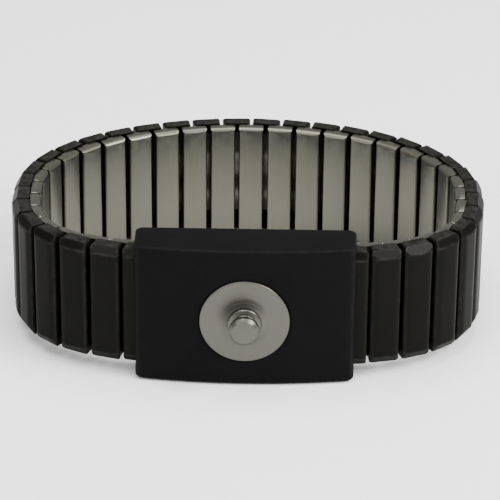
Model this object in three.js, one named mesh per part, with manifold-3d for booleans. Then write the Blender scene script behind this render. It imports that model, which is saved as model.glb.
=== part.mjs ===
// Expansion wrist strap for static control: a loop of sprung metal links closed by a snap-stud housing.
//
// Frame: millimetres, +Z up, the housing's front faces -Y and the wrist goes through the loop along Z.
// The origin is under the middle of the loop, on the surface that it stands on.
// Each link is an outer shell with the inner shell of its housing-side joint, held together by two bows.
// The band hangs a little lower at the back than at the housing, so that it rests on its last links.

import * as THREE from "three";
import { mergeVertices } from "three/addons/utils/BufferGeometryUtils.js";
import Module from "manifold-3d";

const wasm = await Module();
wasm.setup();

// Loop of the band, seen from above: the line through its joints
const LOOP_HALF_WIDTH = 29.7;
const LOOP_FRONT_DEPTH = 20.5; // front to the widest place
const LOOP_BACK_DEPTH = 21.4; // widest place to the back
const LOOP_FRONT_POWER = 3.2; // 2 is an ellipse, more is squarer
const JOINT_DEPTH = 2.5; // depth of the joints below the band's outer surface
const PITCH = 4.2;
const LINKS_PER_SIDE = 16;
const BAND_HEIGHT = 16.8;
const BAND_RISE = 1.9; // height of the band's lower edge at the housing

// Outer shell of a link
const OUTER_WIDTH = 4;
const OUTER_DEPTH = 2.2;
const OUTER_BACK_WIDTH = 3.75;
const OUTER_SHOULDER = 0.65; // depth at which the domed front meets the sides
const OUTER_BEVEL_DROP = 0.8; // how far the bevelled end falls away from the crown
const OUTER_BEVEL_LENGTH = 1.15;

// Inner shell, which lies across a joint between two outer shells
const INNER_WIDTH = 3.5;
const INNER_TOP = 2.6; // depth below the band's outer surface
const INNER_BOTTOM = 4.1;
const INNER_SETBACK = 0.4; // how much shorter it is than the outer shell at each end
const INNER_BEVEL = 0.5;
const INNER_CORNER = 0.35;

// Bows that hold an outer and an inner shell together, near each end
const BOW_WIDTH = 0.9;
const BOW_HEIGHT = 1.1;
const BOW_INSET = 1.05; // from the joint, along the band
const BOW_FROM_END = 1.5;

// Housing
const HOUSING_HALF_WIDTH = 14.5;
const HOUSING_HEIGHT = 19.8;
const HOUSING_FRONT = -1.3;
const HOUSING_BACK = 5.6;
const FRONT_SAGITTA = 1; // how much the front face curves back towards its sides
const FRONT_CORNER = 1.2;
const BACK_CORNER = 0.8;
const EDGE_ROUND = 0.35;
const WALL = 1;
const CAVITY_FRONT = 0.1;
const SLOT_FRONT = 0.2; // slot in the side wall for the end of the band
const SLOT_BACK = 5;
const SLOT_PLAY = 0.35;

// Snap stud, its disc and what holds them
const STUD_HEIGHT = 9.5;
const STUD_HEAD_RADIUS = 2;
const STUD_NECK_RADIUS = 1.55;
const STUD_COLLAR_RADIUS = 1.85;
const STUD_LENGTH = 3;
const SHANK_RADIUS = 1.2;
const SHANK_HOLE_RADIUS = 1.5;
const RIVET_RADIUS = 2;
const DISC_RADIUS = 5.95;
const DISC_FRONT = -1.45;
const DISC_BACK = -0.55;
const RECESS_BACK = -0.5;
const RECESS_RADIUS = 6.2;
const WASHER_RADIUS = 3.2;
const WASHER_THICKNESS = 0.5;
const STACK_GAP = 0.05;
const SPRING_THICKNESS = 0.25;
const SPRING_WIDTH = 4;

// Skin plate and the hooks and pins that hold the ends of the band
const PLATE_FRONT = 5.1;
const PLATE_BACK = 5.9;
const PLATE_PLAY = 0.3;
const TAB_WIDTH = 2.4;
const TAB_X = 6;
const TAB_LENGTH = 2;
const TAB_THICKNESS = 0.5;
const PIN_X = 10;
const PIN_Y = 3.5;
const PIN_RADIUS = 0.45;
const PIN_HOLE_RADIUS = 0.7;
const PIN_SEAT = 0.5;
const HOOK_EYE_RADIUS = 1.05;
const HOOK_THICKNESS = 0.4;
const HOOK_REACH = 3.7;
const HOOK_END_MARGIN = 3;

const ROUND_SEGMENTS = 40;
const LOOP_BACK = JOINT_DEPTH + LOOP_FRONT_DEPTH + LOOP_BACK_DEPTH;
const MIDDLE_Z = HOUSING_HEIGHT / 2;

const blackCoat = new THREE.MeshStandardMaterial({ color: 0x1f1f1b, roughness: 0.4, metalness: 0.5 });
const brightSteel = new THREE.MeshStandardMaterial({ color: 0x8b897f, roughness: 0.3, metalness: 1 });
const blackPlastic = new THREE.MeshStandardMaterial({ color: 0x1c1c1c, roughness: 0.7, metalness: 0 });
const studMetal = new THREE.MeshStandardMaterial({ color: 0x85857c, roughness: 0.4, metalness: 1 });
const springSteel = new THREE.MeshStandardMaterial({ color: 0x6e6e6a, roughness: 0.35, metalness: 1 });

// ---- Solids ----

function solidFrom(geometry) {
  const bare = geometry.clone();
  bare.deleteAttribute("normal");
  bare.deleteAttribute("uv");
  const merged = mergeVertices(bare, 1e-4);
  const vertProperties = new Float32Array(merged.attributes.position.array);
  const triVerts = new Uint32Array(merged.index.array);
  return new wasm.Manifold(new wasm.Mesh({ numProp: 3, vertProperties, triVerts }));
}

function geometryFrom(solid) {
  const mesh = solid.getMesh();
  const geometry = new THREE.BufferGeometry();
  geometry.setAttribute("position", new THREE.BufferAttribute(mesh.vertProperties, 3));
  geometry.setIndex(new THREE.BufferAttribute(mesh.triVerts, 1));
  geometry.computeVertexNormals();
  return geometry;
}

function joined(...geometries) {
  return geometryFrom(geometries.map(solidFrom).reduce((all, next) => all.add(next)));
}

function cut(body, ...tools) {
  return geometryFrom(tools.map(solidFrom).reduce((left, tool) => left.subtract(tool), solidFrom(body)));
}

function common(a, b) {
  return geometryFrom(solidFrom(a).intersect(solidFrom(b)));
}

function boxBetween(low, high) {
  const size = high.map((value, i) => value - low[i]);
  const middle = high.map((value, i) => (value + low[i]) / 2);
  return new THREE.BoxGeometry(...size).translate(...middle);
}

// A plan outline raised along +Z from z = 0.
function raised(shape, height, curveSegments = 3) {
  return new THREE.ExtrudeGeometry(shape, { depth: height, bevelEnabled: false, curveSegments });
}

// An outline in depth (Y) and height (Z), swept across X about the origin.
function sweptAcross(points, width) {
  const shape = new THREE.Shape(points.map(([depth, height]) => new THREE.Vector2(depth, height)));
  const swept = new THREE.ExtrudeGeometry(shape, { depth: width, bevelEnabled: false });
  swept.translate(0, 0, -width / 2);
  return swept.applyMatrix4(new THREE.Matrix4().set(0, 0, 1, 0, 1, 0, 0, 0, 0, 1, 0, 0, 0, 0, 0, 1));
}

// A profile of radius against depth, turned about the stud's axis, which runs along Y.
// On its outside the profile runs towards +Y.
function turnedAlongY(points) {
  const profile = points.map(([radius, depth]) => new THREE.Vector2(radius, depth));
  return new THREE.LatheGeometry(profile, ROUND_SEGMENTS).translate(0, 0, STUD_HEIGHT);
}

function meshOf(name, geometry, material) {
  const mesh = new THREE.Mesh(geometry, material);
  mesh.name = name;
  return mesh;
}

// ---- Loop ----

// A point of the loop, from the middle of the back (0) to the middle of the front (PI).
function loopPoint(turn, side) {
  const across = Math.sin(turn);
  const along = Math.cos(turn);
  if (along >= 0) {
    return new THREE.Vector2(
      side * LOOP_HALF_WIDTH * across,
      JOINT_DEPTH + LOOP_FRONT_DEPTH + LOOP_BACK_DEPTH * along,
    );
  }
  return new THREE.Vector2(
    side * LOOP_HALF_WIDTH * across ** (2 / LOOP_FRONT_POWER),
    JOINT_DEPTH + LOOP_FRONT_DEPTH * (1 - (-along) ** (2 / LOOP_FRONT_POWER)),
  );
}

// The joints of one side, one pitch apart, from the one inside the housing to the middle of the back.
function jointsOf(side) {
  const joints = [loopPoint(0, side)];
  let turn = 0;
  for (let link = 0; link <= LINKS_PER_SIDE; link += 1) {
    let near = turn;
    let far = Math.PI;
    for (let step = 0; step < 40; step += 1) {
      const middle = (near + far) / 2;
      if (loopPoint(middle, side).distanceTo(joints[link]) < PITCH) {
        near = middle;
      } else {
        far = middle;
      }
    }
    turn = near;
    joints.push(loopPoint(turn, side));
  }
  return joints.reverse();
}

function inwardNormal(from, to, side) {
  const along = to.clone().sub(from).normalize();
  return new THREE.Vector2(side * -along.y, side * along.x);
}

// Height of the band's lower edge at a depth in the loop.
function lowerEdge(y) {
  return BAND_RISE * (1 - y / LOOP_BACK);
}

// A frame with its origin on the band's outer surface, outside a point of the joint line.
// Its +Y is into the loop and its +Z is up.
function bandFrame(point, inward, height) {
  const turned = Math.atan2(-inward.x, inward.y);
  const frame = new THREE.Matrix4().makeRotationZ(turned);
  const surface = point.clone().addScaledVector(inward, -JOINT_DEPTH);
  return frame.setPosition(surface.x, surface.y, height);
}

// ---- Links ----

function outerShell() {
  const half = OUTER_WIDTH / 2;
  const back = OUTER_BACK_WIDTH / 2;
  const section = new THREE.Shape();
  section.moveTo(-back, OUTER_DEPTH);
  section.lineTo(back, OUTER_DEPTH);
  section.lineTo(half, OUTER_SHOULDER);
  section.bezierCurveTo(half, 0.4 * OUTER_SHOULDER, 0.75 * half, 0, 0, 0);
  section.bezierCurveTo(-0.75 * half, 0, -half, 0.4 * OUTER_SHOULDER, -half, OUTER_SHOULDER);
  const bar = raised(section, BAND_HEIGHT, 5);
  const ends = sweptAcross(
    [
      [OUTER_BEVEL_DROP, 0],
      [2 * OUTER_DEPTH, 0],
      [2 * OUTER_DEPTH, BAND_HEIGHT],
      [OUTER_BEVEL_DROP, BAND_HEIGHT],
      [0.3 * OUTER_BEVEL_DROP, BAND_HEIGHT - 0.45 * OUTER_BEVEL_LENGTH],
      [-0.01, BAND_HEIGHT - OUTER_BEVEL_LENGTH],
      [-0.01, OUTER_BEVEL_LENGTH],
      [0.3 * OUTER_BEVEL_DROP, 0.45 * OUTER_BEVEL_LENGTH],
    ],
    2 * OUTER_WIDTH,
  );
  return common(bar, ends);
}

function innerShell() {
  const half = INNER_WIDTH / 2;
  const section = new THREE.Shape();
  section.moveTo(-half, INNER_TOP);
  section.lineTo(half, INNER_TOP);
  section.lineTo(half, INNER_BOTTOM - INNER_CORNER);
  section.quadraticCurveTo(half, INNER_BOTTOM, half - INNER_CORNER, INNER_BOTTOM);
  section.lineTo(-half + INNER_CORNER, INNER_BOTTOM);
  section.quadraticCurveTo(-half, INNER_BOTTOM, -half, INNER_BOTTOM - INNER_CORNER);
  const bar = raised(section, BAND_HEIGHT);
  const low = INNER_SETBACK;
  const high = BAND_HEIGHT - INNER_SETBACK;
  const ends = sweptAcross(
    [
      [INNER_TOP - 0.1, low],
      [INNER_BOTTOM - INNER_BEVEL, low],
      [INNER_BOTTOM + 0.01, low + INNER_BEVEL],
      [INNER_BOTTOM + 0.01, high - INNER_BEVEL],
      [INNER_BOTTOM - INNER_BEVEL, high],
      [INNER_TOP - 0.1, high],
    ],
    2 * INNER_WIDTH,
  );
  return common(bar, ends);
}

// Two short bows between the shells, on the side of the joint that `towards` gives.
function bows(towards) {
  const x = towards * (PITCH / 2 - BOW_INSET);
  const overlap = 0.25;
  return [BOW_FROM_END, BAND_HEIGHT - BOW_FROM_END - BOW_HEIGHT].map((z) =>
    boxBetween(
      [x - BOW_WIDTH / 2, OUTER_DEPTH - overlap, z],
      [x + BOW_WIDTH / 2, INNER_TOP + 2 * overlap, z + BOW_HEIGHT],
    ),
  );
}

// The frame of the outer shell between two joints.
function linkFrame(joints, index, side) {
  const middle = joints[index].clone().add(joints[index + 1]).multiplyScalar(0.5);
  return bandFrame(middle, inwardNormal(joints[index], joints[index + 1], side), lowerEdge(middle.y));
}

// The frame of the inner shell at a joint, which faces halfway between its two outer shells.
function jointFrame(joints, index, side, height) {
  const inward = inwardNormal(joints[index - 1], joints[index], side);
  if (index < joints.length - 1) {
    inward.add(inwardNormal(joints[index], joints[index + 1], side));
  } else {
    inward.set(0, -1);
  }
  return bandFrame(joints[index], inward.normalize(), height);
}

function placed(mesh, frame) {
  frame.decompose(mesh.position, mesh.quaternion, mesh.scale);
  return mesh;
}

// Link number 1 is the first one outside the housing.
function bandLink(name, joints, number, side) {
  const frame = linkFrame(joints, number, side);
  const height = frame.elements[14];
  const toLink = frame.clone().invert();
  const across = innerShell().applyMatrix4(toLink.multiply(jointFrame(joints, number, side, height)));
  const geometry = joined(outerShell(), ...bows(-side), across);
  return placed(meshOf(name, geometry, blackCoat), frame);
}

function bandSide(letter, side) {
  const group = new THREE.Group();
  const joints = jointsOf(side);
  for (let number = 1; number <= LINKS_PER_SIDE; number += 1) {
    const name = `band_link_${letter}${String(number).padStart(2, "0")}`;
    group.add(bandLink(name, joints, number, side));
  }
  return group;
}

// The inner shell that closes the loop at the middle of the back.
function closingShell() {
  const joints = jointsOf(1);
  const frame = jointFrame(joints, joints.length - 1, 1, lowerEdge(LOOP_BACK));
  return placed(meshOf("closing_inner_shell", innerShell(), brightSteel), frame);
}

// ---- Ends of the band, inside the housing ----

function endLink(name, side) {
  return placed(meshOf(name, outerShell(), blackCoat), linkFrame(jointsOf(side), 0, side));
}

// A strip under the end link, with an eye that turns round the end pin.
function endHook(name, side) {
  const eye = new THREE.Shape();
  eye.absarc(0, 0, HOOK_EYE_RADIUS, 0, 2 * Math.PI);
  const hole = new THREE.Path();
  hole.absarc(0, 0, PIN_HOLE_RADIUS, 0, 2 * Math.PI, true);
  eye.holes.push(hole);
  const height = HOUSING_HEIGHT - 2 * HOOK_END_MARGIN;
  const ring = raised(eye, height, 8);
  const strip = boxBetween(
    [Math.min(0.8 * side, HOOK_REACH * side), -HOOK_THICKNESS / 2, 0],
    [Math.max(0.8 * side, HOOK_REACH * side), HOOK_THICKNESS / 2, height],
  );
  const hook = meshOf(name, joined(ring, strip), springSteel);
  hook.position.set(PIN_X * side, PIN_Y, HOOK_END_MARGIN);
  return hook;
}

function endPin(name, side) {
  const length = HOUSING_HEIGHT - 2 * (WALL - PIN_SEAT) - 0.2;
  const pin = meshOf(name, new THREE.CylinderGeometry(PIN_RADIUS, PIN_RADIUS, length, 16), springSteel);
  pin.rotation.x = Math.PI / 2;
  pin.position.set(PIN_X * side, PIN_Y, MIDDLE_Z);
  return pin;
}

// ---- Housing ----

function housingOutline() {
  const side = HOUSING_HALF_WIDTH;
  const flank = HOUSING_FRONT + FRONT_SAGITTA;
  const outline = new THREE.Shape();
  outline.moveTo(-side + FRONT_CORNER, flank);
  outline.quadraticCurveTo(0, HOUSING_FRONT - FRONT_SAGITTA, side - FRONT_CORNER, flank);
  outline.quadraticCurveTo(side, flank + 0.1, side, flank + FRONT_CORNER);
  outline.lineTo(side, HOUSING_BACK - BACK_CORNER);
  outline.quadraticCurveTo(side, HOUSING_BACK, side - BACK_CORNER, HOUSING_BACK);
  outline.lineTo(-side + BACK_CORNER, HOUSING_BACK);
  outline.quadraticCurveTo(-side, HOUSING_BACK, -side, HOUSING_BACK - BACK_CORNER);
  outline.lineTo(-side, flank + FRONT_CORNER);
  outline.quadraticCurveTo(-side, flank + 0.1, -side + FRONT_CORNER, flank);
  return outline;
}

// The moulded cover: open at the back, with a slot in each side and a recess for the disc.
function housingCover() {
  const block = new THREE.ExtrudeGeometry(housingOutline(), {
    depth: HOUSING_HEIGHT - 2 * EDGE_ROUND,
    bevelThickness: EDGE_ROUND,
    bevelSize: EDGE_ROUND,
    bevelOffset: -EDGE_ROUND,
    bevelSegments: 2,
    curveSegments: 8,
  }).translate(0, 0, EDGE_ROUND);
  const inside = HOUSING_HALF_WIDTH - WALL;
  const past = 2;
  const cavity = boxBetween(
    [-inside, CAVITY_FRONT, WALL],
    [inside, HOUSING_BACK + past, HOUSING_HEIGHT - WALL],
  );
  const slots = boxBetween(
    [-HOUSING_HALF_WIDTH - past, SLOT_FRONT, BAND_RISE - SLOT_PLAY],
    [HOUSING_HALF_WIDTH + past, SLOT_BACK, BAND_RISE + BAND_HEIGHT + SLOT_PLAY],
  );
  const recess = turnedAlongY([
    [0, HOUSING_FRONT - past],
    [RECESS_RADIUS, HOUSING_FRONT - past],
    [RECESS_RADIUS, RECESS_BACK],
    [0, RECESS_BACK],
  ]);
  const shankHole = turnedAlongY([
    [0, HOUSING_FRONT - past],
    [SHANK_HOLE_RADIUS, HOUSING_FRONT - past],
    [SHANK_HOLE_RADIUS, CAVITY_FRONT + past],
    [0, CAVITY_FRONT + past],
  ]);
  const seats = [-1, 1].map((side) =>
    new THREE.CylinderGeometry(PIN_HOLE_RADIUS, PIN_HOLE_RADIUS, HOUSING_HEIGHT - 2 * (WALL - PIN_SEAT), 16)
      .rotateX(Math.PI / 2)
      .translate(PIN_X * side, PIN_Y, MIDDLE_Z),
  );
  return meshOf("housing_cover", cut(block, cavity, slots, recess, shankHole, ...seats), blackPlastic);
}

function contactDisc() {
  const edge = 0.15;
  const profile = [
    [SHANK_HOLE_RADIUS, DISC_FRONT],
    [DISC_RADIUS - edge, DISC_FRONT],
    [DISC_RADIUS, DISC_FRONT + edge],
    [DISC_RADIUS, DISC_BACK],
    [SHANK_HOLE_RADIUS, DISC_BACK],
    [SHANK_HOLE_RADIUS, DISC_FRONT],
  ];
  return meshOf("contact_disc", turnedAlongY(profile), studMetal);
}

// A 4 mm snap stud with its shank, riveted over behind the washer and the contact spring.
function snapStud() {
  const seat = DISC_FRONT - STACK_GAP;
  const tip = DISC_FRONT - STUD_LENGTH;
  const rivet = CAVITY_FRONT + WASHER_THICKNESS + SPRING_THICKNESS + 3 * STACK_GAP;
  const profile = [
    [0, tip],
    [STUD_HEAD_RADIUS - 0.4, tip],
    [STUD_HEAD_RADIUS, tip + 0.35],
    [STUD_HEAD_RADIUS, tip + 0.9],
    [STUD_NECK_RADIUS, tip + 1.25],
    [STUD_NECK_RADIUS, seat - 1.05],
    [STUD_COLLAR_RADIUS, seat - 0.75],
    [STUD_COLLAR_RADIUS, seat - 0.3],
    [STUD_COLLAR_RADIUS + 0.35, seat],
    [SHANK_RADIUS, seat],
    [SHANK_RADIUS, rivet],
    [RIVET_RADIUS, rivet],
    [RIVET_RADIUS, rivet + 0.15],
    [RIVET_RADIUS - 0.3, rivet + 0.45],
    [0, rivet + 0.45],
  ];
  return meshOf("snap_stud", turnedAlongY(profile), studMetal);
}

function studWasher() {
  const front = CAVITY_FRONT + STACK_GAP;
  const profile = [
    [SHANK_HOLE_RADIUS, front],
    [WASHER_RADIUS, front],
    [WASHER_RADIUS, front + WASHER_THICKNESS],
    [SHANK_HOLE_RADIUS, front + WASHER_THICKNESS],
    [SHANK_HOLE_RADIUS, front],
  ];
  return meshOf("stud_washer", turnedAlongY(profile), springSteel);
}

// A bowed strip that carries the contact from the stud to the skin plate.
function contactSpring() {
  const front = CAVITY_FRONT + WASHER_THICKNESS + 2 * STACK_GAP;
  const back = PLATE_FRONT - 0.1 - SPRING_THICKNESS;
  const right = [
    [3.7, front],
    [6.6, back - 0.4],
    [7.3, back],
    [8, back - 0.4],
  ];
  const path = [...right.map(([x, y]) => [-x, y]).reverse(), ...right];
  const behind = path.map(([x, y]) => [x, y + SPRING_THICKNESS]).reverse();
  const shape = new THREE.Shape([...path, ...behind].map(([x, y]) => new THREE.Vector2(x, y)));
  const strip = raised(shape, SPRING_WIDTH).translate(0, 0, STUD_HEIGHT - SPRING_WIDTH / 2);
  const hole = turnedAlongY([
    [0, front - 1],
    [SHANK_HOLE_RADIUS, front - 1],
    [SHANK_HOLE_RADIUS, front + 1],
    [0, front + 1],
  ]);
  return meshOf("contact_spring", cut(strip, hole), springSteel);
}

// The plate that touches the wrist, with four tabs that spring into the cover.
function skinPlate() {
  const halfWidth = HOUSING_HALF_WIDTH - WALL - PLATE_PLAY;
  const low = WALL + PLATE_PLAY;
  const high = HOUSING_HEIGHT - low;
  const corner = 1;
  const outline = new THREE.Shape();
  outline.moveTo(-halfWidth + corner, low);
  outline.lineTo(halfWidth - corner, low);
  outline.quadraticCurveTo(halfWidth, low, halfWidth, low + corner);
  outline.lineTo(halfWidth, high - corner);
  outline.quadraticCurveTo(halfWidth, high, halfWidth - corner, high);
  outline.lineTo(-halfWidth + corner, high);
  outline.quadraticCurveTo(-halfWidth, high, -halfWidth, high - corner);
  outline.lineTo(-halfWidth, low + corner);
  outline.quadraticCurveTo(-halfWidth, low, -halfWidth + corner, low);
  const plate = raised(outline, PLATE_BACK - PLATE_FRONT, 4);
  plate.rotateX(Math.PI / 2).translate(0, PLATE_BACK, 0);
  const tabs = [-TAB_X, TAB_X].flatMap((x) =>
    [low, high - TAB_THICKNESS].map((z) =>
      boxBetween(
        [x - TAB_WIDTH / 2, PLATE_FRONT - TAB_LENGTH, z],
        [x + TAB_WIDTH / 2, PLATE_FRONT + 0.2, z + TAB_THICKNESS],
      ),
    ),
  );
  return meshOf("skin_plate", joined(plate, ...tabs), brightSteel);
}

// ---- Assembly ----

const strap = new THREE.Group();
strap.add(
  housingCover(),
  contactDisc(),
  snapStud(),
  studWasher(),
  contactSpring(),
  skinPlate(),
  endLink("end_link_left", -1),
  endLink("end_link_right", 1),
  endHook("end_hook_left", -1),
  endHook("end_hook_right", 1),
  endPin("end_pin_left", -1),
  endPin("end_pin_right", 1),
  bandSide("L", -1),
  bandSide("R", 1),
  closingShell(),
);

const bounds = new THREE.Box3().setFromObject(strap, true);
const middle = bounds.getCenter(new THREE.Vector3());
strap.position.set(-middle.x, -middle.y, -bounds.min.z);

export default strap;
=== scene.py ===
"""Looks of the expansion wrist strap: shells, bows and springs of the band, and the snap-stud housing."""

import math

import bmesh
import bpy
import numpy as np
from mathutils import Matrix, Vector


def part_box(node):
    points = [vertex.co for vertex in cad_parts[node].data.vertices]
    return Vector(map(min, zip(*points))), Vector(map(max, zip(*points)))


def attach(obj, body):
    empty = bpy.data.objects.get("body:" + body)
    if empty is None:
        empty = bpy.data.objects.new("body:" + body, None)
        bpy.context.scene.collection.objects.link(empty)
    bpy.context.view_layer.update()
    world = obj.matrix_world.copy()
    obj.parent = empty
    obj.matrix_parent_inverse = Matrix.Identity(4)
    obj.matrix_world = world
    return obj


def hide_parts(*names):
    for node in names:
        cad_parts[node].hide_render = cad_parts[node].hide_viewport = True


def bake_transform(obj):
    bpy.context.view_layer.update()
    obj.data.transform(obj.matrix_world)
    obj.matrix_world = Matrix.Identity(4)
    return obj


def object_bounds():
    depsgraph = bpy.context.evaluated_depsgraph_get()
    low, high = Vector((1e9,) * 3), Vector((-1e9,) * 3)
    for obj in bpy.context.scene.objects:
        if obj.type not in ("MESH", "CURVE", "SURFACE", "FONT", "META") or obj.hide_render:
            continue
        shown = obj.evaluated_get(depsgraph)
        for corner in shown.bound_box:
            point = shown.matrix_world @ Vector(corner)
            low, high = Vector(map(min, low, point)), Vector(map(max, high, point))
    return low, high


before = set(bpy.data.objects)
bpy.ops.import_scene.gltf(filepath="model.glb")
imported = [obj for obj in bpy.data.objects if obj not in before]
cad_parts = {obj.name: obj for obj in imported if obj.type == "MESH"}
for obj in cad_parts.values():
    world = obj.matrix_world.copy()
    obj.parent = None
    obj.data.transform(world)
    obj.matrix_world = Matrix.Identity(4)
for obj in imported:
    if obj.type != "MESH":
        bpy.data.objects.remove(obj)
cad_low, cad_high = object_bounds()

MM = 0.001
UP = Vector((0, 0, 1))

# Band, in millimetres. Depths run inwards from its outer surface: OUTER_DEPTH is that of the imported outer
# shells, and INNER_END_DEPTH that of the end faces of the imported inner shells.
LINKS_PER_SIDE = 16
OUTER_DEPTH = 2.2
INNER_SETBACK = 0.4
INNER_END_DEPTH = 3.6

# Outer shell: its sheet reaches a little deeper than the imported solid, whose depth is OUTER_DEPTH
OUTER_WIDTH = 4
OUTER_BACK_WIDTH = 3.75
OUTER_BACK = 2.42
OUTER_BACK_ROUND = 0.18
OUTER_SHOULDER = 0.65
OUTER_FLANK = 0.85
OUTER_WAIST = 1.4
OUTER_SHEET = 0.2
OUTER_DROP = 0.8
OUTER_BEVEL = 1.15
OUTER_CORNER = 0.45
OUTER_LIP = 0.55
LIP_START = 1.6
LIP_RISE = 0.4

# Inner shell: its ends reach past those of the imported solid, which are INNER_SETBACK inside the band's edge
INNER_WIDTH = 3.5
INNER_TOP = 2.6
INNER_BOTTOM = 4.1
INNER_CROWN = 0.06
INNER_CORNER = 0.38
INNER_SHEET = 0.18
INNER_REACH = 0.25
INNER_END_CORNER = 0.1
INNER_ROUND = 0.72

# Bows and leaf springs, in millimetres. STRIP_ROUND is the part of a strip's thickness that is rounded.
BOW_ASIDE = 1.0
BOW_WIDTH = 0.8
BOW_SHEET = 0.22
BOW_OUTER_LEG = 1.5
BOW_INNER_LEG = 3.2
BOW_TURN = 0.95
BOW_STRAIGHT = 0.4
BOW_REACH = 3.0
LEAF_WIDTH = 2.5
LEAF_SHEET = 0.12
LEAF_START = 2.2
LEAF_DEPTH = 0.7
LEAF_SWAY = 0.8
STRIP_ROUND = 0.3

# Mesh rows of a shell: OUTER_FINE and INNER_ROUND from each end they are a fine step apart
OUTER_FINE = 1.5
OUTER_STEP = 0.09
INNER_STEP = 0.06
COARSE_STEPS = 6

# Largest angle by which a loosely held shell is turned
SLACK = math.radians(0.9)

# Angles from which an edge stays a sharp crease: on most pieces, on the disc and the cover's bevelled cuts,
# and on the stud
SHARP_ANGLE = math.radians(34)
CUT_ANGLE = math.radians(50)
STUD_ANGLE = math.radians(24)

# Points closer than MERGE_WITHIN are merged, and those within LEVEL_WITHIN of a level lie on it, in metres
MERGE_WITHIN = 1e-7
LEVEL_WITHIN = 5e-6

# Nearly all the values of a noise texture lie between these two
NOISE_LOW = 0.25
NOISE_HIGH = 0.75

# Housing, in millimetres
EDGE_ROUND = 0.45
EDGE_WEAR_GAIN = 3.5
FRONT_SAG = 1.0
FRONT_CORNER = 1.2
BACK_CORNER = 0.8
CAVITY_GAP = 0.3
CAVITY_CORNER = 0.9
SLOT_PLAY = 0.35
SLOT_INSET = 0.2
SLOT_PAST_PLATE = 1.9
SLOT_CORNER = 0.4
RECESS_GAP = 0.12
STUD_HOLE = 1.5
TOOL_OVERSHOOT = 3
TOOL_HAIR = 0.05
CUT_BEVEL = 0.08

# Flat sides of the round shapes
DISC_SIDES = 96
STUD_SIDES = 72
HOLE_SIDES = 48

# Skin plate and its tabs, in millimetres
PLATE_THICKNESS = 0.8
PLATE_CORNER = 1.0
PLATE_EDGE_ROUND = 0.3
TAB_ASIDE = 6
TAB_WIDTH = 2.4
TAB_SHEET = 0.45
TAB_INSET = 0.25

# Painted shade on the disc beside the stud, centred up and to the left of it, in millimetres
DISC_PAINTED_SHADE_INNER = 0.9
DISC_PAINTED_SHADE_OUTER = 3.4
DISC_PAINTED_SHADE_COLOUR = (0.036, 0.035, 0.03)
DISC_PAINTED_SHADE_SHIFT = Vector((-0.8, 0, 1.3))

# Camera: its place and its target, its tilt, and its lens and sensor in millimetres
CAMERA_AT = Vector((5.91, -367.0, 199.3)) * MM
CAMERA_TARGET = Vector((0.243, 3.441, 6.608)) * MM
CAMERA_ROLL = math.radians(0.476)
CAMERA_LENS = 216.3
CAMERA_SENSOR = 36

# Stage: the floor's distance under the object in millimetres, half its width and the lamps' target in metres
FLOOR_GAP = 0.2
FLOOR_HALF = 3
LAMP_TARGET = Vector((0, 0, 0.008))


# ---------------------------------------------------------------- materials

def new_material(name):
    """A new node material, with its nodes, its links and its shader."""
    material = bpy.data.materials.new(name)
    material.use_nodes = True
    nodes = material.node_tree.nodes
    return material, nodes, material.node_tree.links, nodes["Principled BSDF"]


def stretched_noise(nodes, links, scale, detail=3.0, roughness=0.5):
    """Noise in object coordinates, with its own scale along X, Y and Z in cycles per metre."""
    place = nodes.new("ShaderNodeTexCoord")
    mapping = nodes.new("ShaderNodeMapping")
    mapping.inputs["Scale"].default_value = scale
    noise = nodes.new("ShaderNodeTexNoise")
    noise.inputs["Scale"].default_value = 1.0
    noise.inputs["Detail"].default_value = detail
    noise.inputs["Roughness"].default_value = roughness
    links.new(place.outputs["Object"], mapping.inputs["Vector"])
    links.new(mapping.outputs["Vector"], noise.inputs["Vector"])
    return noise.outputs["Fac"]


def spread(nodes, links, value, low, high):
    """A noise value carried to low..high."""
    remap = nodes.new("ShaderNodeMapRange")
    remap.inputs["From Min"].default_value = NOISE_LOW
    remap.inputs["From Max"].default_value = NOISE_HIGH
    remap.inputs["To Min"].default_value = low
    remap.inputs["To Max"].default_value = high
    links.new(value, remap.inputs["Value"])
    return remap.outputs["Result"]


def two_colours(nodes, links, value, first, second):
    """A mix of two colours, each given as numbers or as a socket: the first at 0, the second at 1."""
    mix = nodes.new("ShaderNodeMix")
    mix.data_type = "RGBA"
    links.new(value, mix.inputs["Factor"])
    set_or_link(links, mix.inputs["A"], first)
    set_or_link(links, mix.inputs["B"], second)
    return mix.outputs["Result"]


def set_or_link(links, socket, value):
    """Gives a colour socket a colour, or links it to another socket."""
    if isinstance(value, bpy.types.NodeSocket):
        links.new(value, socket)
    else:
        socket.default_value = (*value, 1)


def bumped(nodes, links, shader, height, strength, distance):
    """Gives a shader a bump of this height map. distance is in millimetres."""
    bump = nodes.new("ShaderNodeBump")
    bump.inputs["Strength"].default_value = strength
    bump.inputs["Distance"].default_value = distance * MM
    links.new(height, bump.inputs["Height"])
    links.new(bump.outputs["Normal"], shader.inputs["Normal"])


def wear_and_painted_shade_mask(nodes):
    """The attribute of wear and painted shade: 1 where a piece is rubbed, and on an inner shell 1 just below
    its rounded upper end, where painted shade lies.
    """
    attribute = nodes.new("ShaderNodeAttribute")
    attribute.attribute_name = "wear_and_painted_shade"
    return attribute.outputs["Fac"]


def product(nodes, links, first, second):
    """Two values multiplied."""
    multiply = nodes.new("ShaderNodeMath")
    multiply.operation = "MULTIPLY"
    links.new(first, multiply.inputs[0])
    links.new(second, multiply.inputs[1])
    return multiply.outputs["Value"]


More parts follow.
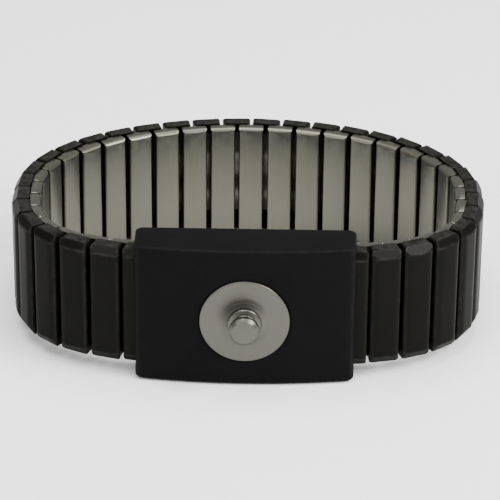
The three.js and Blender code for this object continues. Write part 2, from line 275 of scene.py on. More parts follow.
def black_coating():
    """Thin satin coating on the outer shells, rubbed lighter along their creases."""
    material, nodes, links, shader = new_material("black_coating")
    cloud = stretched_noise(nodes, links, (260, 260, 120), 4)
    grain = stretched_noise(nodes, links, (6000, 6000, 6000), 2)
    coat = two_colours(nodes, links, cloud, (0.0025, 0.0025, 0.0018), (0.0042, 0.0041, 0.0032))
    scuff = stretched_noise(nodes, links, (1500, 1500, 900), 3)
    rubbed = product(nodes, links, wear_and_painted_shade_mask(nodes), spread(nodes, links, scuff, 0.0, 0.6))
    colour = two_colours(nodes, links, rubbed, coat, (0.03, 0.029, 0.027))
    links.new(colour, shader.inputs["Base Color"])
    links.new(spread(nodes, links, cloud, 0.3, 0.42), shader.inputs["Roughness"])
    shader.inputs["Metallic"].default_value = 0.0
    shader.inputs["IOR"].default_value = 1.06
    shader.inputs["Coat Weight"].default_value = 0.06
    shader.inputs["Coat Roughness"].default_value = 0.16
    bumped(nodes, links, shader, grain, 0.18, 0.02)
    return material


def bright_steel():
    """Brushed steel of the wrist side, cloudy, with painted shade, a mottled dark bluish band, where the
    attribute of wear and painted shade says.
    """
    material, nodes, links, shader = new_material("bright_steel")
    brush = stretched_noise(nodes, links, (5200, 5200, 160), 3, 0.6)
    cloud = stretched_noise(nodes, links, (300, 300, 180), 3)
    steel = two_colours(nodes, links, brush, (0.089, 0.089, 0.069), (0.128, 0.127, 0.102))
    stain = two_colours(nodes, links, spread(nodes, links, cloud, 0.0, 0.35), steel, (0.105, 0.104, 0.084))
    mottle = stretched_noise(nodes, links, (750, 750, 420), 3, 0.6)
    # Painted shade: a mottled, darker bluish grey just below each inner shell's rounded upper end, standing
    # in for the dark reflection there
    painted_shade = product(nodes, links, wear_and_painted_shade_mask(nodes), spread(nodes, links, mottle, 0.0, 1.0))
    links.new(two_colours(nodes, links, painted_shade, stain, (0.04, 0.043, 0.043)), shader.inputs["Base Color"])
    links.new(spread(nodes, links, brush, 0.26, 0.4), shader.inputs["Roughness"])
    shader.inputs["Metallic"].default_value = 1.0
    bumped(nodes, links, shader, brush, 0.16, 0.01)
    return material


def black_plastic():
    """Matt moulded plastic with a fine grain, polished along its edges."""
    material, nodes, links, shader = new_material("black_plastic")
    cloud = stretched_noise(nodes, links, (140, 140, 140), 3)
    grain = stretched_noise(nodes, links, (4200, 4200, 4200), 3, 0.6)
    colour = two_colours(nodes, links, cloud, (0.0023, 0.0023, 0.0023), (0.0034, 0.0034, 0.0036))
    specks = spread(nodes, links, grain, 0.0, 0.4)
    speck = two_colours(nodes, links, specks, colour, (0.0056, 0.0056, 0.0056))
    scuff = stretched_noise(nodes, links, (900, 900, 900), 3)
    rubbed = product(nodes, links, wear_and_painted_shade_mask(nodes), spread(nodes, links, scuff, 0.1, 0.9))
    polished = two_colours(nodes, links, rubbed, speck, (0.009, 0.009, 0.009))
    links.new(polished, shader.inputs["Base Color"])
    links.new(spread(nodes, links, grain, 0.5, 0.66), shader.inputs["Roughness"])
    shader.inputs["IOR"].default_value = 1.1
    bumped(nodes, links, shader, grain, 0.35, 0.03)
    return material


def vector_step(nodes, links, operation, vector, other=(0, 0, 0)):
    """The node of one step of vector arithmetic with a constant."""
    step = nodes.new("ShaderNodeVectorMath")
    step.operation = operation
    step.inputs[1].default_value = other
    links.new(vector, step.inputs[0])
    return step


def turned_metal(name, centre, shaded):
    """Satin metal turned about the stud's axis, with fine rings. A shaded one has painted shade on it beside
    the stud, up and to its left.
    """
    material, nodes, links, shader = new_material(name)
    place = nodes.new("ShaderNodeTexCoord")
    away = vector_step(nodes, links, "SUBTRACT", place.outputs["Object"], centre)
    flat = vector_step(nodes, links, "MULTIPLY", away.outputs["Vector"], (1, 0, 1))
    radius = vector_step(nodes, links, "LENGTH", flat.outputs["Vector"])
    rings = nodes.new("ShaderNodeTexNoise")
    rings.noise_dimensions = "1D"
    rings.inputs["Scale"].default_value = 5200
    rings.inputs["Detail"].default_value = 3
    links.new(radius.outputs["Value"], rings.inputs["W"])
    cloud = stretched_noise(nodes, links, (420, 420, 420), 3)
    metal = two_colours(nodes, links, rings.outputs["Fac"], (0.076, 0.076, 0.065), (0.098, 0.097, 0.084))
    colour = two_colours(nodes, links, spread(nodes, links, cloud, 0, 0.3), metal, (0.088, 0.086, 0.075))
    if shaded:
        # Painted shade: the disc is darkened near a point up and to the left of the stud
        disc_painted_shade = nodes.new("ShaderNodeMapRange")
        disc_painted_shade.interpolation_type = "SMOOTHSTEP"
        disc_painted_shade.inputs["From Min"].default_value = DISC_PAINTED_SHADE_INNER * MM
        disc_painted_shade.inputs["From Max"].default_value = DISC_PAINTED_SHADE_OUTER * MM
        beside = vector_step(nodes, links, "SUBTRACT", flat.outputs["Vector"], DISC_PAINTED_SHADE_SHIFT * MM)
        apart = vector_step(nodes, links, "LENGTH", beside.outputs["Vector"])
        links.new(apart.outputs["Value"], disc_painted_shade.inputs["Value"])
        colour = two_colours(nodes, links, disc_painted_shade.outputs["Result"], DISC_PAINTED_SHADE_COLOUR, colour)
    links.new(colour, shader.inputs["Base Color"])
    links.new(spread(nodes, links, rings.outputs["Fac"], 0.3, 0.42), shader.inputs["Roughness"])
    shader.inputs["Metallic"].default_value = 1.0
    bumped(nodes, links, shader, rings.outputs["Fac"], 0.14, 0.01)
    return material


def spring_steel():
    """Dark brushed spring strip."""
    material, nodes, links, shader = new_material("spring_steel")
    brush = stretched_noise(nodes, links, (900, 900, 4200), 3)
    colour = two_colours(nodes, links, brush, (0.075, 0.073, 0.066), (0.15, 0.146, 0.132))
    links.new(colour, shader.inputs["Base Color"])
    links.new(spread(nodes, links, brush, 0.28, 0.45), shader.inputs["Roughness"])
    shader.inputs["Metallic"].default_value = 1.0
    bumped(nodes, links, shader, brush, 0.12, 0.01)
    return material


def pale_floor():
    """The studio floor, nearly white."""
    material, nodes, links, shader = new_material("pale_floor")
    cloud = stretched_noise(nodes, links, (9, 9, 9), 3)
    colour = two_colours(nodes, links, cloud, (0.9, 0.9, 0.9), (0.93, 0.93, 0.93))
    links.new(colour, shader.inputs["Base Color"])
    shader.inputs["Roughness"].default_value = 0.7
    shader.inputs["Specular IOR Level"].default_value = 0.15
    return material


# ---------------------------------------------------------------- mesh tools

def shaded_smooth(bm, smooth_angle):
    """Smooth faces, with edges steeper than smooth_angle kept sharp."""
    for edge in bm.edges:
        edge.smooth = len(edge.link_faces) == 2 and edge.calc_face_angle(0) < smooth_angle
    for face in bm.faces:
        face.smooth = True


def finished(bm, name, material, smooth_angle=SHARP_ANGLE):
    """Turns a bmesh in metres into a shown object with smooth faces and sharp creases."""
    bmesh.ops.remove_doubles(bm, verts=bm.verts, dist=MERGE_WITHIN)
    bmesh.ops.recalc_face_normals(bm, faces=bm.faces)
    shaded_smooth(bm, smooth_angle)
    mesh = bpy.data.meshes.new(name)
    bm.to_mesh(mesh)
    bm.free()
    mesh.materials.append(material)
    piece = bpy.data.objects.new(name, mesh)
    bpy.context.scene.collection.objects.link(piece)
    return piece


class Place:
    """A place with its own axes: x along, depth inwards and height up from its origin, in millimetres."""

    def __init__(self, origin, along, inward):
        self.origin = origin
        self.along = along
        self.inward = inward

    def at(self, x, depth, height):
        return self.origin + (self.along * x + self.inward * depth + UP * height) * MM


def slack(place, key):
    """A place turned by the small angle that a loosely held shell has, its own for each key."""
    number = sum((i + 1) * ord(letter) for i, letter in enumerate(key))
    turn = Matrix.Rotation(SLACK * math.sin(2.4 * number), 3, UP)
    return Place(place.origin, turn @ place.along, turn @ place.inward)


def ring_sweep(bm, rings, closed_ends):
    """Skins closed rings of points, one after another."""
    rows = [[bm.verts.new(point) for point in ring] for ring in rings]
    count = len(rows[0])
    for low, high in zip(rows, rows[1:]):
        for j in range(count):
            k = (j + 1) % count
            bm.faces.new((low[j], low[k], high[k], high[j]))
    if closed_ends:
        bm.faces.new(rows[0])
        bm.faces.new(rows[-1])


def fine_then_coarse(length, fine_until, fine_step, coarse_steps):
    """Stations along a length, close together at both ends."""
    near = np.arange(0, fine_until, fine_step)
    middle = np.linspace(fine_until, length - fine_until, coarse_steps + 1)
    return [*near, *middle, *(length - near[::-1])]


def bell(value, middle, width):
    """1 at middle, falling smoothly to nearly 0 about two widths away."""
    return math.exp(-(((value - middle) / width) ** 2))


def quarter_round(radius, k, steps):
    """Step k of a quarter turn, as the distances from the two sides of the corner that it rounds."""
    angle = math.pi / 2 * k / steps
    return radius * (1 - math.cos(angle)), radius * (1 - math.sin(angle))


def soft_max(a, b, blend):
    """The larger of two values, with the crease between them rounded."""
    gap = max(blend - abs(a - b), 0) / blend
    return max(a, b) + gap * gap * blend / 4


def normals_of(points):
    """The unit normals of a plane line, to the left of its direction."""
    direction = np.gradient(points, axis=0)
    direction /= np.linalg.norm(direction, axis=1)[:, None] + 1e-12
    return np.stack([-direction[:, 1], direction[:, 0]], 1)


def bezier(points, steps):
    """Points of a cubic Bezier curve, without its last point."""
    p = np.array(points, float)
    t = np.arange(steps)[:, None] / steps
    curve = (1 - t) ** 3 * p[0] + 3 * (1 - t) ** 2 * t * p[1] + 3 * (1 - t) * t * t * p[2] + t**3 * p[3]
    return [tuple(q) for q in curve]


# ---------------------------------------------------------------- band

def cap_at(node, from_top):
    """The points of a CAD node on the level face from_top below its top, as an array."""
    co = np.array([v.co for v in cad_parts[node].data.vertices], float)
    level = co[:, 2].max() - from_top * MM
    return co[np.abs(co[:, 2] - level) < LEVEL_WITHIN]


def place_of(node, from_top, back_depth):
    """The band place of the shell whose end face lies from_top under the node's top.
    back_depth is the depth of the end face's deep edge."""
    points = cap_at(node, from_top)[:, :2]
    middle = (points.min(0) + points.max(0)) / 2
    centred = points - points.mean(0)
    values, vectors = np.linalg.eigh(centred.T @ centred)
    along = Vector((*vectors[:, values.argmax()], 0)).normalized()
    loop_middle = (cad_low + cad_high) / 2
    inward = Vector((-along.y, along.x, 0))
    if inward.dot(Vector((loop_middle.x - middle[0], loop_middle.y - middle[1], 0))) < 0:
        inward = -inward
    along = inward.cross(UP)
    offsets = centred @ np.array(inward.xy)
    across = centred @ np.array(along.xy)
    centre = Vector((*points.mean(0), 0))
    centre += along * ((across.max() + across.min()) / 2)
    origin = centre + inward * (offsets.max() - back_depth * MM)
    origin.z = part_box(node)[0].z
    return Place(origin, along, inward)


def outer_profile(lip):
    """Line of the outer shell's section, from the left lip over the crown to the right lip."""
    half = OUTER_WIDTH / 2
    back = OUTER_BACK_WIDTH / 2
    flat_end = (-back + OUTER_BACK_ROUND, OUTER_BACK)
    side_end = (-back, OUTER_BACK - OUTER_BACK_ROUND)
    left = [(-back + OUTER_BACK_ROUND + lip, OUTER_BACK)]
    left += bezier([flat_end, (-back, OUTER_BACK), (-back, OUTER_BACK), side_end], 4)
    left += [side_end, (-back - 0.06, OUTER_WAIST), (-half + 0.02, OUTER_FLANK)]
    left += bezier([(-half, OUTER_SHOULDER), (-half, 0.26), (-0.75 * half, 0.03), (-0.45 * half, 0.008)], 9)
    left += [(-0.45 * half, 0.008), (-0.28 * half, 0.003), (-0.12 * half, 0.001)]
    return left + [(0, 0)] + [(-x, y) for x, y in reversed(left)]


def inner_profile():
    """Line of the inner shell's section, from the left lip over the wrist side to the right lip."""
    half = INNER_WIDTH / 2
    flat = half - INNER_CORNER
    edge = INNER_BOTTOM - INNER_CROWN
    pull = 0.4 * INNER_CORNER
    left = [(-half + 0.05, INNER_TOP), (-half, INNER_TOP + 0.1), (-half, INNER_BOTTOM - 0.9)]
    corner = [(-half, edge - INNER_CORNER), (-half, edge - pull), (-half + pull, edge), (-flat, edge)]
    left += bezier(corner, 6)
    face = [(x, INNER_BOTTOM - INNER_CROWN * (x / flat) ** 2) for x in np.linspace(-flat, 0, 6)]
    left += face[:-1]
    return left + [face[-1]] + [(-x, y) for x, y in reversed(left)]


def inset(line, distance):
    """A line moved to its inner side by distance."""
    points = np.array(line, float)
    return [tuple(p) for p in points + normals_of(points) * distance]


def rounded(distance, radius):
    """How far a corner of this radius has fallen away, at a distance from the end."""
    missing = max(radius - distance, 0)
    return radius - math.sqrt(max(radius**2 - missing**2, 0))


def folded_shell(outer_rows, inner_rows, wear_and_painted_shade):
    """A shell of sheet with closed ends, open along one side between its two lips.
    Its last argument gives the value of point j in row i of its outside: wear on an outer shell, painted
    shade on an inner shell."""
    bm = bmesh.new()
    layer = bm.verts.layers.float.new("wear_and_painted_shade")
    skins = []
    for skin, rows in enumerate((outer_rows, inner_rows)):
        made = []
        for i, row in enumerate(rows):
            line = [bm.verts.new(point) for point in row]
            for j, vertex in enumerate(line):
                vertex[layer] = wear_and_painted_shade(i, j) if skin == 0 else 0.0
            made.append(line)
        for low, high in zip(made, made[1:]):
            for j in range(len(low) - 1):
                bm.faces.new((low[j], low[j + 1], high[j + 1], high[j]))
        bm.faces.new(made[0])
        bm.faces.new(made[-1])
        skins.append(made)
    outside, inside = skins
    for j in (0, -1):
        for i in range(len(outside) - 1):
            bm.faces.new((outside[i][j], outside[i + 1][j], inside[i + 1][j], inside[i][j]))
    for i in (0, -1):
        bm.faces.new((outside[i][0], outside[i][-1], inside[i][-1], inside[i][0]))
    return bm


def outer_shell(name, place, length):
    """A folded, domed shell with chamfered, closed ends and two lips along its back."""
    stations = fine_then_coarse(length, OUTER_FINE, OUTER_STEP, COARSE_STEPS)

    def row(height, near_end, sheet):
        lip = OUTER_LIP * min(max((near_end - LIP_START) / LIP_RISE, 0), 1)
        line = outer_profile(lip)
        if sheet:
            line = inset(line, sheet)
        floor = OUTER_DROP * (1 - near_end / OUTER_BEVEL) + sheet
        squeeze = 1 - rounded(near_end, OUTER_CORNER) / (OUTER_WIDTH / 2)
        return [place.at(x * squeeze, min(soft_max(y, floor, 0.1), OUTER_BACK), height) for x, y in line]

    outer_rows, inner_rows = [], []
    for height in stations:
        near_end = min(height, length - height)
        outer_rows.append(row(height, near_end, 0))
        inside = OUTER_SHEET + (length - 2 * OUTER_SHEET) * height / length
        inner_rows.append(row(inside, near_end, OUTER_SHEET))
    middle = len(outer_profile(0)) // 2
    last = len(stations) - 1
    bevel_row = int(OUTER_BEVEL / OUTER_STEP)

    def wear_and_painted_shade(i, j):
        """Full on the end's edge, on the crease where its bevel starts and, less, on the shoulders."""
        across = abs(j - middle) / middle
        end = min(i, last - i)
        return min(bell(end, bevel_row, 1.6) + bell(end, 0, 0.9) + 0.7 * bell(across, 0.5, 0.1), 1)

    bm = folded_shell(outer_rows, inner_rows, wear_and_painted_shade)
    return finished(bm, name, materials["black_coating"])


def inner_shell(name, place, length):
    """A folded shell with a nearly flat wrist side, closed ends and a rounded edge at each end."""
    setback = INNER_SETBACK - INNER_REACH
    own = length - 2 * setback
    outer_rows, inner_rows = [], []
    half = INNER_WIDTH / 2

    def row(height, near_end, sheet):
        line = inner_profile()
        if sheet:
            line = inset(line, -sheet)
        ceiling = INNER_BOTTOM - rounded(near_end, INNER_ROUND) - sheet
        squeeze = 1 - rounded(near_end, INNER_END_CORNER) / half
        return [place.at(x * squeeze, min(y, ceiling), setback + height) for x, y in line]

    stations = fine_then_coarse(own, INNER_ROUND, INNER_STEP, COARSE_STEPS)
    for height in stations:
        near_end = min(height, own - height)
        outer_rows.append(row(height, near_end, 0))
        inside = INNER_SHEET + (own - 2 * INNER_SHEET) * height / own
        inner_rows.append(row(inside, near_end, INNER_SHEET))

    rounded_rows = round(INNER_ROUND / INNER_STEP)

    def painted_shade(i, j):
        """Painted shade just below the rounded upper end, standing in for the dark reflection there."""
        from_top = len(stations) - 1 - i
        return bell(from_top, rounded_rows, 0.85)

    bm = folded_shell(outer_rows, inner_rows, painted_shade)
    return finished(bm, name, materials["bright_steel"])


def strip_along(bm, points, width, thickness, point_at):
    """A flat strip that follows points of (depth, height), with rounded long edges."""
    path = np.array(points, float)
    half, t, r = width / 2, thickness / 2, thickness * STRIP_ROUND
    section = [(-half, -t + r), (-half + r, -t), (half - r, -t), (half, -t + r)]
    section += [(half, t - r), (half - r, t), (-half + r, t), (-half, t - r)]
    rings = []
    for (depth, height), (nd, nh) in zip(path, normals_of(path)):
        rings.append([point_at(x, depth + nd * off, height + nh * off) for x, off in section])
    ring_sweep(bm, rings, True)


def bow(name, place, x, length, upper):
    """A U of spring strip with one leg in an outer shell and the other in an inner shell."""
    radius = (BOW_INNER_LEG - BOW_OUTER_LEG) / 2
    middle = (BOW_INNER_LEG + BOW_OUTER_LEG) / 2
    turn_end = BOW_TURN + radius
    straight = turn_end + BOW_STRAIGHT
    arc = [math.pi * (1 + k / 10) for k in range(11)]
    path = [(BOW_OUTER_LEG, BOW_REACH), (BOW_OUTER_LEG, straight)]
    path += [(middle + radius * math.cos(a), turn_end + radius * math.sin(a)) for a in arc]
    path += [(BOW_INNER_LEG, straight), (BOW_INNER_LEG, BOW_REACH)]
    if upper:
        path = [(depth, length - height) for depth, height in path]
    bm = bmesh.new()
    strip_along(bm, path, BOW_WIDTH, BOW_SHEET, lambda u, d, h: place.at(x + u, d, h))
    return finished(bm, name, materials["spring_steel"])


def leaf_spring(name, place, length):
    """A bowed leaf that lies inside an outer shell and presses on the bows."""
    path = []
    for t in np.linspace(0, 1, 15):
        sway = 0.5 - 0.5 * math.cos(4 * math.pi * t)
        path.append((LEAF_DEPTH + LEAF_SWAY * sway, LEAF_START + (length - 2 * LEAF_START) * t))
    bm = bmesh.new()
    strip_along(bm, path, LEAF_WIDTH, LEAF_SHEET, place.at)
    return finished(bm, name, materials["spring_steel"])


def bows_at(joint, place, towards, length, before, after):
    """The bows of an inner shell: two hold the link before the joint, and two the link after it.
    A bow is attached to its body only where the joint has no body on one side; the others are left in place
    and attached to no body. A body that is None has no bows."""
    shallow, deep = BOW_OUTER_LEG, 2 * BOW_INNER_LEG - BOW_OUTER_LEG
    for upper in (False, True):
        end = "upper" if upper else "lower"
        for body, sense, label in ((before, -1, "near"), (after, 1, "far")):
            if body is None:
                continue
            piece = bow(f"bow_{joint}_{label}_{end}", place, sense * towards * BOW_ASIDE, length, upper)
            if before is None or after is None:
                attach(piece, body)
                continue
            top, bottom = place.at(0, shallow, 0), place.at(0, deep, 0)
            if body == before:
                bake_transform(piece)
                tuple(top)
                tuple(bottom)
            else:
                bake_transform(piece)
                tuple(bottom)
                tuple(top)


def band_height(node):
    """How high a CAD node of the band is, in millimetres."""
    low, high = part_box(node)
    return (high.z - low.z) / MM


def band_link(letter, number):
    """One link: its outer shell and leaf spring, and the inner shell and the bows of its near joint.
    The inner shell is left in place and attached to neither link."""
    tag = f"{letter}{number:02d}"
    node = f"band_link_{tag}"
    body = f"link_{tag}"
    before = "housing" if number == 1 else f"link_{letter}{number - 1:02d}"
    length = band_height(node)
    place = place_of(node, 0, OUTER_DEPTH)
    shell = outer_shell(f"outer_shell_{tag}", slack(place, tag), length)
    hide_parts(node)
    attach(shell, body)
    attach(leaf_spring(f"leaf_spring_{tag}", place, length), body)
    joint = place_of(node, INNER_SETBACK, INNER_END_DEPTH)
    inner = inner_shell(f"inner_shell_{tag}", slack(joint, "inner" + tag), length)
    away = 1 if (place.origin - joint.origin).dot(joint.along) > 0 else -1
    centre = joint.at(0, 0, 0)
    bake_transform(inner)
    bows_at(tag, joint, away, length, before, body)


def closing_shell():
    """The inner shell at the middle of the back, where the chain of joints is open."""
    node = "closing_inner_shell"
    length = band_height(node) + 2 * INNER_SETBACK
    place = place_of(node, 0, INNER_END_DEPTH)
    place.origin.z -= INNER_SETBACK * MM
    inner = inner_shell("inner_shell_closing", place, length)
    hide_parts(node)
    last = f"link_R{LINKS_PER_SIDE:02d}"
    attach(inner, last)
    right = 1 if place.along.x > 0 else -1
    bows_at("closing", place, right, length, None, last)


# ---------------------------------------------------------------- housing

def end_link(name):
    """The outer shell and leaf spring of a link that is held in the housing."""
    place = place_of(name, 0, OUTER_DEPTH)
    length = band_height(name)
    tag = name.split("_")[-1]
    shell = outer_shell(f"end_shell_{tag}", place, length)
    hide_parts(name)
    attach(shell, "housing")
    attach(leaf_spring(f"leaf_spring_end_{tag}", place, length), "housing")


def apply_modifier(piece, kind, **settings):
    """Adds a modifier to a piece, sets it and applies it."""
    modifier = piece.modifiers.new(kind.lower(), kind)
    for key, value in settings.items():
        setattr(modifier, key, value)
    bpy.context.view_layer.update()
    evaluated = piece.evaluated_get(bpy.context.evaluated_depsgraph_get())
    mesh = bpy.data.meshes.new_from_object(evaluated)
    piece.modifiers.clear()
    old = piece.data
    piece.data = mesh
    bpy.data.meshes.remove(old)


def creased(piece):
    """Shades a cut piece smooth again."""
    bm = bmesh.new()
    bm.from_mesh(piece.data)
    shaded_smooth(bm, SHARP_ANGLE)
    bm.to_mesh(piece.data)
    bm.free()


def edge_wear(piece):
    """Marks the rounded edges of a boxy piece, where handling rubs it: 0 on its faces, 1 on an edge."""
    attribute = piece.data.attributes.new("wear_and_painted_shade", "FLOAT", "POINT")
    for vertex, entry in zip(piece.data.vertices, attribute.data):
        off_axis = 1 - max(abs(part) for part in vertex.normal)
        entry.value = min(EDGE_WEAR_GAIN * off_axis, 1)


def tool_from(bm, name):
    """A plain object of a bmesh, for cutting or for the stage."""
    bmesh.ops.recalc_face_normals(bm, faces=bm.faces)
    mesh = bpy.data.meshes.new(name)
    bm.to_mesh(mesh)
    bm.free()
    tool = bpy.data.objects.new(name, mesh)
    bpy.context.scene.collection.objects.link(tool)
    return tool


def rounded_box_tool(name, low, high, radius, axis):
    """A box tool in metres with the edges along one axis rounded."""
    bm = bmesh.new()
    bmesh.ops.create_cube(bm, size=1)
    size = [b - a for a, b in zip(low, high)]
    middle = [(a + b) / 2 for a, b in zip(low, high)]
    bm.transform(Matrix.Translation(middle) @ Matrix.Diagonal((*size, 1)))
    edges = [e for e in bm.edges if abs((e.verts[1].co - e.verts[0].co).normalized()[axis]) > 0.9]
    bmesh.ops.bevel(bm, geom=edges, offset=radius, segments=5, profile=0.5, affect="EDGES")
    return tool_from(bm, name)


def round_axis(centre, radius, y, turn):
    """A point beside an axis along Y through centre. turn is a part of a full turn."""
    angle = 2 * math.pi * turn
    return (centre.x + radius * math.cos(angle), y, centre.z + radius * math.sin(angle))


def turned(bm, profile, centre, segments):
    """Skins a profile of (radius, y) turned about an axis along Y through centre."""
    turns = [k / segments for k in range(segments)]
    rings = [[round_axis(centre, radius, y, turn) for turn in turns] for radius, y in profile]
    ring_sweep(bm, rings, True)


def turned_ring(bm, profile, centre, segments):
    """Skins a closed profile of (radius, y) about an axis along Y, so that it has a hole in its middle."""
    turns = [k / segments for k in range(segments)]
    rings = [[round_axis(centre, radius, y, turn) for radius, y in profile] for turn in turns]
    ring_sweep(bm, [*rings, rings[0]], False)


def cut_from(piece, tools):
    """Cuts each tool from a piece and deletes the tools."""
    for tool in tools:
        apply_modifier(piece, "BOOLEAN", operation="DIFFERENCE", solver="EXACT", object=tool)
    for tool in tools:
        bpy.data.objects.remove(tool)


def housing_outline(low, high, inset_by):
    """The housing seen from above, in metres: a gently bowed front, rounded corners and a straight back."""
    half = (high.x - low.x) / 2 - inset_by
    front = low.y + inset_by
    back = high.y - inset_by
    sag = FRONT_SAG * MM
    flank = front + sag
    corner = FRONT_CORNER * MM
    points = []
    for x in np.linspace(-half + corner, half - corner, 33):
        points.append((x, flank - sag * (1 - (x / (half - corner)) ** 2)))
    for k in range(1, 9):
        t = k / 8
        start, pull, end = (1 - t) ** 2, 2 * t * (1 - t), t * t
        x = start * (half - corner) + pull * half + end * half
        y = start * flank + pull * (flank + 0.1 * MM) + end * (flank + corner)
        points.append((x, y))
    for k in range(7):
        beside, behind = quarter_round(BACK_CORNER * MM, k, 6)
        points.append((half - beside, back - behind))
    mirrored = [(-x, y) for x, y in reversed(points) if y > flank + 1e-9]
    return points + mirrored


def housing_cover():
    """The moulded cover, with soft edges, a cavity, the two band slots and the recess round the disc."""
    node = "housing_cover"
    low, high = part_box(node)
    stations = [quarter_round(EDGE_ROUND * MM, k, 5) for k in range(6)]
    rings = []
    for rise, off in stations:
        rings.append([(x, y, low.z + rise) for x, y in housing_outline(low, high, off)])
    for rise, off in reversed(stations):
        rings.append([(x, y, high.z - rise) for x, y in housing_outline(low, high, off)])
    bm = bmesh.new()
    ring_sweep(bm, rings, True)
    cover = finished(bm, node + "_moulding", materials["black_plastic"])
    disc_low, disc_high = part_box("contact_disc")
    plate_low, plate_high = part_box("skin_plate")
    end_low, end_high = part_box("end_link_left")
    hair = TOOL_HAIR * MM
    play = SLOT_PLAY * MM
    past = TOOL_OVERSHOOT * MM
    gap = CAVITY_GAP * MM
    cavity_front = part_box("stud_washer")[0].y - hair
    inner_x = plate_high.x + gap
    cavity = rounded_box_tool(
        "cavity_tool",
        (-inner_x, cavity_front, plate_low.z - gap),
        (inner_x, high.y + past, plate_high.z + gap),
        CAVITY_CORNER * MM,
        axis=1,
    )
    slot_front = end_low.y + SLOT_INSET * MM - play
    slots = rounded_box_tool(
        "slot_tool",
        (low.x - past, slot_front, end_low.z - play),
        (high.x + past, plate_low.y + SLOT_PAST_PLATE * MM, end_high.z + play),
        SLOT_CORNER * MM,
        axis=0,
    )
    recess = bmesh.new()
    centre = (disc_low + disc_high) / 2
    radius = (disc_high.x - disc_low.x) / 2 + RECESS_GAP * MM
    turned(recess, [(radius, low.y - past), (radius, disc_high.y + hair)], centre, DISC_SIDES)
    hole = bmesh.new()
    turned(hole, [(STUD_HOLE * MM, low.y - past), (STUD_HOLE * MM, high.y)], centre, HOLE_SIDES)
    cut_from(cover, [cavity, slots, tool_from(recess, "recess_tool"), tool_from(hole, "hole_tool")])
    width = CUT_BEVEL * MM
    apply_modifier(cover, "BEVEL", width=width, segments=2, limit_method="ANGLE", angle_limit=CUT_ANGLE)
    creased(cover)
    edge_wear(cover)
    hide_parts(node)
    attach(cover, "housing")


def contact_disc():
    """The satin disc, which flares up softly into the foot of the stud."""
    low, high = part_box("contact_disc")
    centre = (low + high) / 2
    radius = (high.x - low.x) / 2 / MM
    front, back = low.y / MM, high.y / MM
    flare_top, foot, flare_width, rim = 0.5, 2.35, 0.8, 0.2
    profile = [(STUD_HOLE, back), (radius - 0.05, back), (radius, back - 0.05), (radius, front + 0.22)]
    for k in range(1, 7):
        beside, behind = quarter_round(rim, k, 6)
        profile.append((radius - beside, front + behind))
    for t in np.linspace(0.08, 1, 16):
        r = (radius - rim) * (1 - t) + foot * t
        profile.append((r, front - flare_top * bell(r, foot, flare_width)))
    profile.append((STUD_HOLE, front - flare_top))
    bm = bmesh.new()
    turned_ring(bm, [(r * MM, y * MM) for r, y in profile], centre, DISC_SIDES)
    disc = finished(bm, "contact_disc_turned", materials["disc_metal"], CUT_ANGLE)
    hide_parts("contact_disc")
    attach(disc, "housing")


def snap_stud():
    """The stud: a collar, a narrow neck and a head with a bright chamfer and a flat end."""
    low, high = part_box("snap_stud")
    centre = (low + high) / 2
    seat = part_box("contact_disc")[0].y / MM
    tip = low.y / MM
    rivet = high.y / MM
    head, neck, collar, shank, rivet_head = 2.0, 1.52, 2.25, 1.2, 2.0
    profile = [(0.001, tip), (head - 0.48, tip), (head - 0.42, tip + 0.015)]
    profile += [(head - 0.1, tip + 0.3), (head - 0.02, tip + 0.4), (head, tip + 0.5), (head, tip + 0.85)]
    profile += [(head - 0.04, tip + 0.95), (head - 0.15, tip + 1.08)]
    profile += [(neck + 0.1, tip + 1.24), (neck, tip + 1.34)]
    profile += [(neck, seat - 1.2), (neck + 0.06, seat - 1.1), (collar - 0.3, seat - 0.96)]
    profile += [(collar - 0.1, seat - 0.88), (collar, seat - 0.72)]
    profile += [(collar, seat - 0.3), (shank, seat - 0.3), (shank, rivet - 0.45)]
    profile += [(rivet_head, rivet - 0.45), (rivet_head, rivet - 0.25), (rivet_head - 0.2, rivet - 0.08)]
    profile += [(shank, rivet), (0.001, rivet)]
    bm = bmesh.new()
    turned(bm, [(r * MM, y * MM) for r, y in profile], centre, STUD_SIDES)
    stud = finished(bm, "snap_stud_turned", materials["stud_metal"], STUD_ANGLE)
    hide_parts("snap_stud")
    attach(stud, "housing")


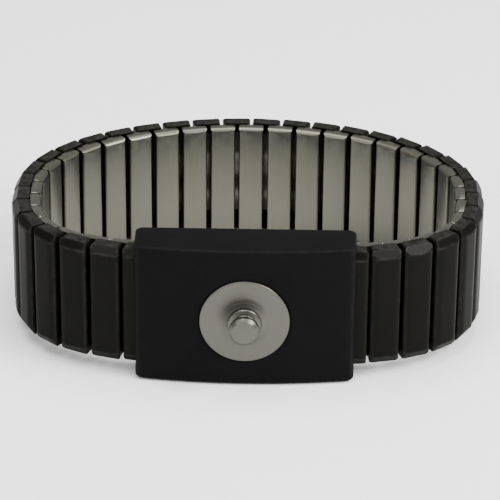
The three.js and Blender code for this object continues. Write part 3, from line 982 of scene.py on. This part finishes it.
def skin_plate():
    """The plate on the wrist side, rounded at its edge, with its four tabs."""
    node = "skin_plate"
    low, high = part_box(node)
    back = high.y
    front = back - PLATE_THICKNESS * MM
    corner = PLATE_CORNER * MM
    edge = PLATE_EDGE_ROUND * MM

    def outline(off):
        """The plate seen from the wrist, drawn in by off."""
        half_x, low_z, high_z = high.x - off, low.z + off, high.z - off
        points = []
        middles = [
            (half_x - corner, low_z + corner, -math.pi / 2),
            (half_x - corner, high_z - corner, 0),
            (-half_x + corner, high_z - corner, math.pi / 2),
            (-half_x + corner, low_z + corner, math.pi),
        ]
        for x, z, first in middles:
            for k in range(9):
                angle = first + math.pi / 2 * k / 8
                points.append((x + corner * math.cos(angle), z + corner * math.sin(angle)))
        return points

    bm = bmesh.new()
    levels = [(0, front), (0, back - edge)]
    for k in range(1, 5):
        off, below = quarter_round(edge, k, 4)
        levels.append((off, back - below))
    rings = [[(x, y, z) for x, z in outline(off)] for off, y in levels]
    ring_sweep(bm, rings, True)
    plate = finished(bm, "skin_plate_pressed", materials["bright_steel"])
    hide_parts(node)
    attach(plate, "housing")
    root = front / MM
    path = [(root - 2.1, 0), (root - 1.0, 0.03), (root + 0.1, 0)]
    for x, side in ((-TAB_ASIDE, "left"), (TAB_ASIDE, "right")):
        for z, label in ((low.z + TAB_INSET * MM, "lower"), (high.z - TAB_INSET * MM, "upper")):
            tab = bmesh.new()
            spot = Place(Vector((x * MM, 0, z)), Vector((1, 0, 0)), Vector((0, 1, 0)))
            strip_along(tab, path, TAB_WIDTH, TAB_SHEET, spot.at)
            name = f"plate_tab_{side}_{label}"
            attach(finished(tab, name, materials["bright_steel"]), "housing")


def carried_over():
    """CAD nodes inside the housing, whose shape is right as it is."""
    ends = ("end_hook_left", "end_hook_right", "end_pin_left", "end_pin_right")
    for node in ("stud_washer", "contact_spring", *ends):
        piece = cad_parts[node]
        piece.data.materials.clear()
        piece.data.materials.append(materials["spring_steel"])


# ---------------------------------------------------------------- stage

def camera():
    """The scene's camera."""
    data = bpy.data.cameras.new("camera")
    data.lens = CAMERA_LENS
    data.sensor_width = CAMERA_SENSOR
    data.clip_start = 0.01
    data.clip_end = 10
    eye = bpy.data.objects.new("camera", data)
    bpy.context.scene.collection.objects.link(eye)
    look = (CAMERA_TARGET - CAMERA_AT).to_track_quat("-Z", "Y").to_matrix().to_4x4()
    eye.matrix_world = Matrix.Translation(CAMERA_AT) @ look @ Matrix.Rotation(CAMERA_ROLL, 4, "Z")
    bpy.context.scene.camera = eye


def soft_light(name, position, size, power):
    """A rectangular lamp that points at the middle of the loop. Lengths in metres, power in watts."""
    data = bpy.data.lights.new(name, "AREA")
    data.shape = "RECTANGLE"
    data.size, data.size_y = size
    data.energy = power
    lamp = bpy.data.objects.new(name, data)
    lamp.location = position
    lamp.rotation_euler = (LAMP_TARGET - Vector(position)).to_track_quat("-Z", "Y").to_euler()
    bpy.context.scene.collection.objects.link(lamp)


def studio():
    """A pale floor under the object, an even white surround and soft lamps."""
    bm = bmesh.new()
    bmesh.ops.create_grid(bm, x_segments=1, y_segments=1, size=FLOOR_HALF)
    floor = tool_from(bm, "floor")
    floor.location.z = cad_low.z - FLOOR_GAP * MM
    floor.data.materials.append(pale_floor())
    world = bpy.data.worlds.new("studio")
    bpy.context.scene.world = world
    world.use_nodes = True
    background = world.node_tree.nodes["Background"]
    background.inputs["Color"].default_value = (1, 1, 1, 1)
    background.inputs["Strength"].default_value = 0.75
    soft_light("overhead", (-0.05, 0.05, 0.6), (0.5, 0.35), 4.1)
    soft_light("front_left", (-0.45, -0.55, 0.45), (0.35, 0.35), 2.4)
    soft_light("right", (0.36, -0.11, 0.42), (0.16, 0.16), 2.4)
    soft_light("right_low", (0.41, -0.24, 0.35), (0.28, 0.17), 2.8)
    soft_light("front_top", (-0.06, -0.3, 0.58), (0.4, 0.07), 0.9)
    soft_light("right_front", (0.27, -0.37, 0.37), (0.13, 0.13), 0.7)


stud_axis = (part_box("snap_stud")[0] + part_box("snap_stud")[1]) / 2
materials = {
    "black_coating": black_coating(),
    "bright_steel": bright_steel(),
    "black_plastic": black_plastic(),
    "stud_metal": turned_metal("stud_metal", stud_axis, False),
    # The disc's copy of the turned metal carries painted shade beside the stud
    "disc_metal": turned_metal("disc_metal", stud_axis, True),
    "spring_steel": spring_steel(),
}

camera()
studio()
for letter in "LR":
    for number in range(1, LINKS_PER_SIDE + 1):
        band_link(letter, number)
closing_shell()
end_link("end_link_left")
end_link("end_link_right")
housing_cover()
contact_disc()
snap_stud()
skin_plate()
carried_over()
